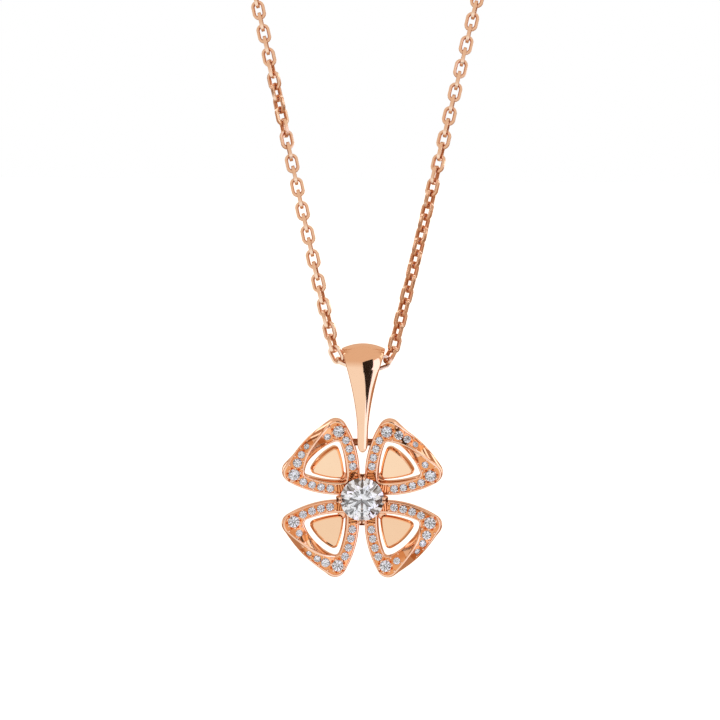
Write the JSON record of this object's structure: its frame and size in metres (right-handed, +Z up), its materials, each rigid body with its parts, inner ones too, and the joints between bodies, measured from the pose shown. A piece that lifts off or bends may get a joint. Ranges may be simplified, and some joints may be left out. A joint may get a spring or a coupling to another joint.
{
  "type": "flower pendant necklace",
  "caption": "Flower pendant with pierced, stone-set petals round a claw-set centre stone, hung by a tapered bail on a fine cable chain with a plain ring clasp.",
  "frame": {"origin": "middle of the clasp at the nape, where the back of the chain rests on a neck", "axes": "+Z up, front of the flower faces -Y, +X to the viewer's right"},
  "size_m": [0.0718, 0.0896, 0.1802],
  "materials": {
    "rose_gold": "mirror-polished rose gold",
    "pale_rose_gold": "polished flat rose gold",
    "diamond": "clear, brilliant cut"
  },
  "bodies": {
    "necklace": {"chain_left": "rose_gold", "chain_right": "rose_gold", "clasp": "rose_gold"},
    "bail": {"bail": "rose_gold"},
    "flower": {"crossbar": "rose_gold", "setting": "rose_gold", "centre_stone": "diamond", "petal_upper_right": "rose_gold", "petal_upper_left": "rose_gold", "petal_lower_left": "rose_gold", "petal_lower_right": "rose_gold", "plate_upper_right": "pale_rose_gold", "plate_upper_left": "pale_rose_gold", "plate_lower_left": "pale_rose_gold", "plate_lower_right": "pale_rose_gold", "pave_upper_right": "diamond", "pave_upper_left": "diamond", "pave_lower_left": "diamond", "pave_lower_right": "diamond"}
  },
  "joints": [
    {"name": "bail_swing", "type": "hinge", "parent": "necklace", "child": "bail", "pos_m": [0, -0.087, -0.156], "axis": [1, 0, 0], "range_deg": [-90, 90]},
    {"name": "flower_swing", "type": "hinge", "parent": "bail", "child": "flower", "pos_m": [0, -0.08697, -0.1637], "axis": [1, 0, 0], "range_deg": [-60, 60]}
  ]
}
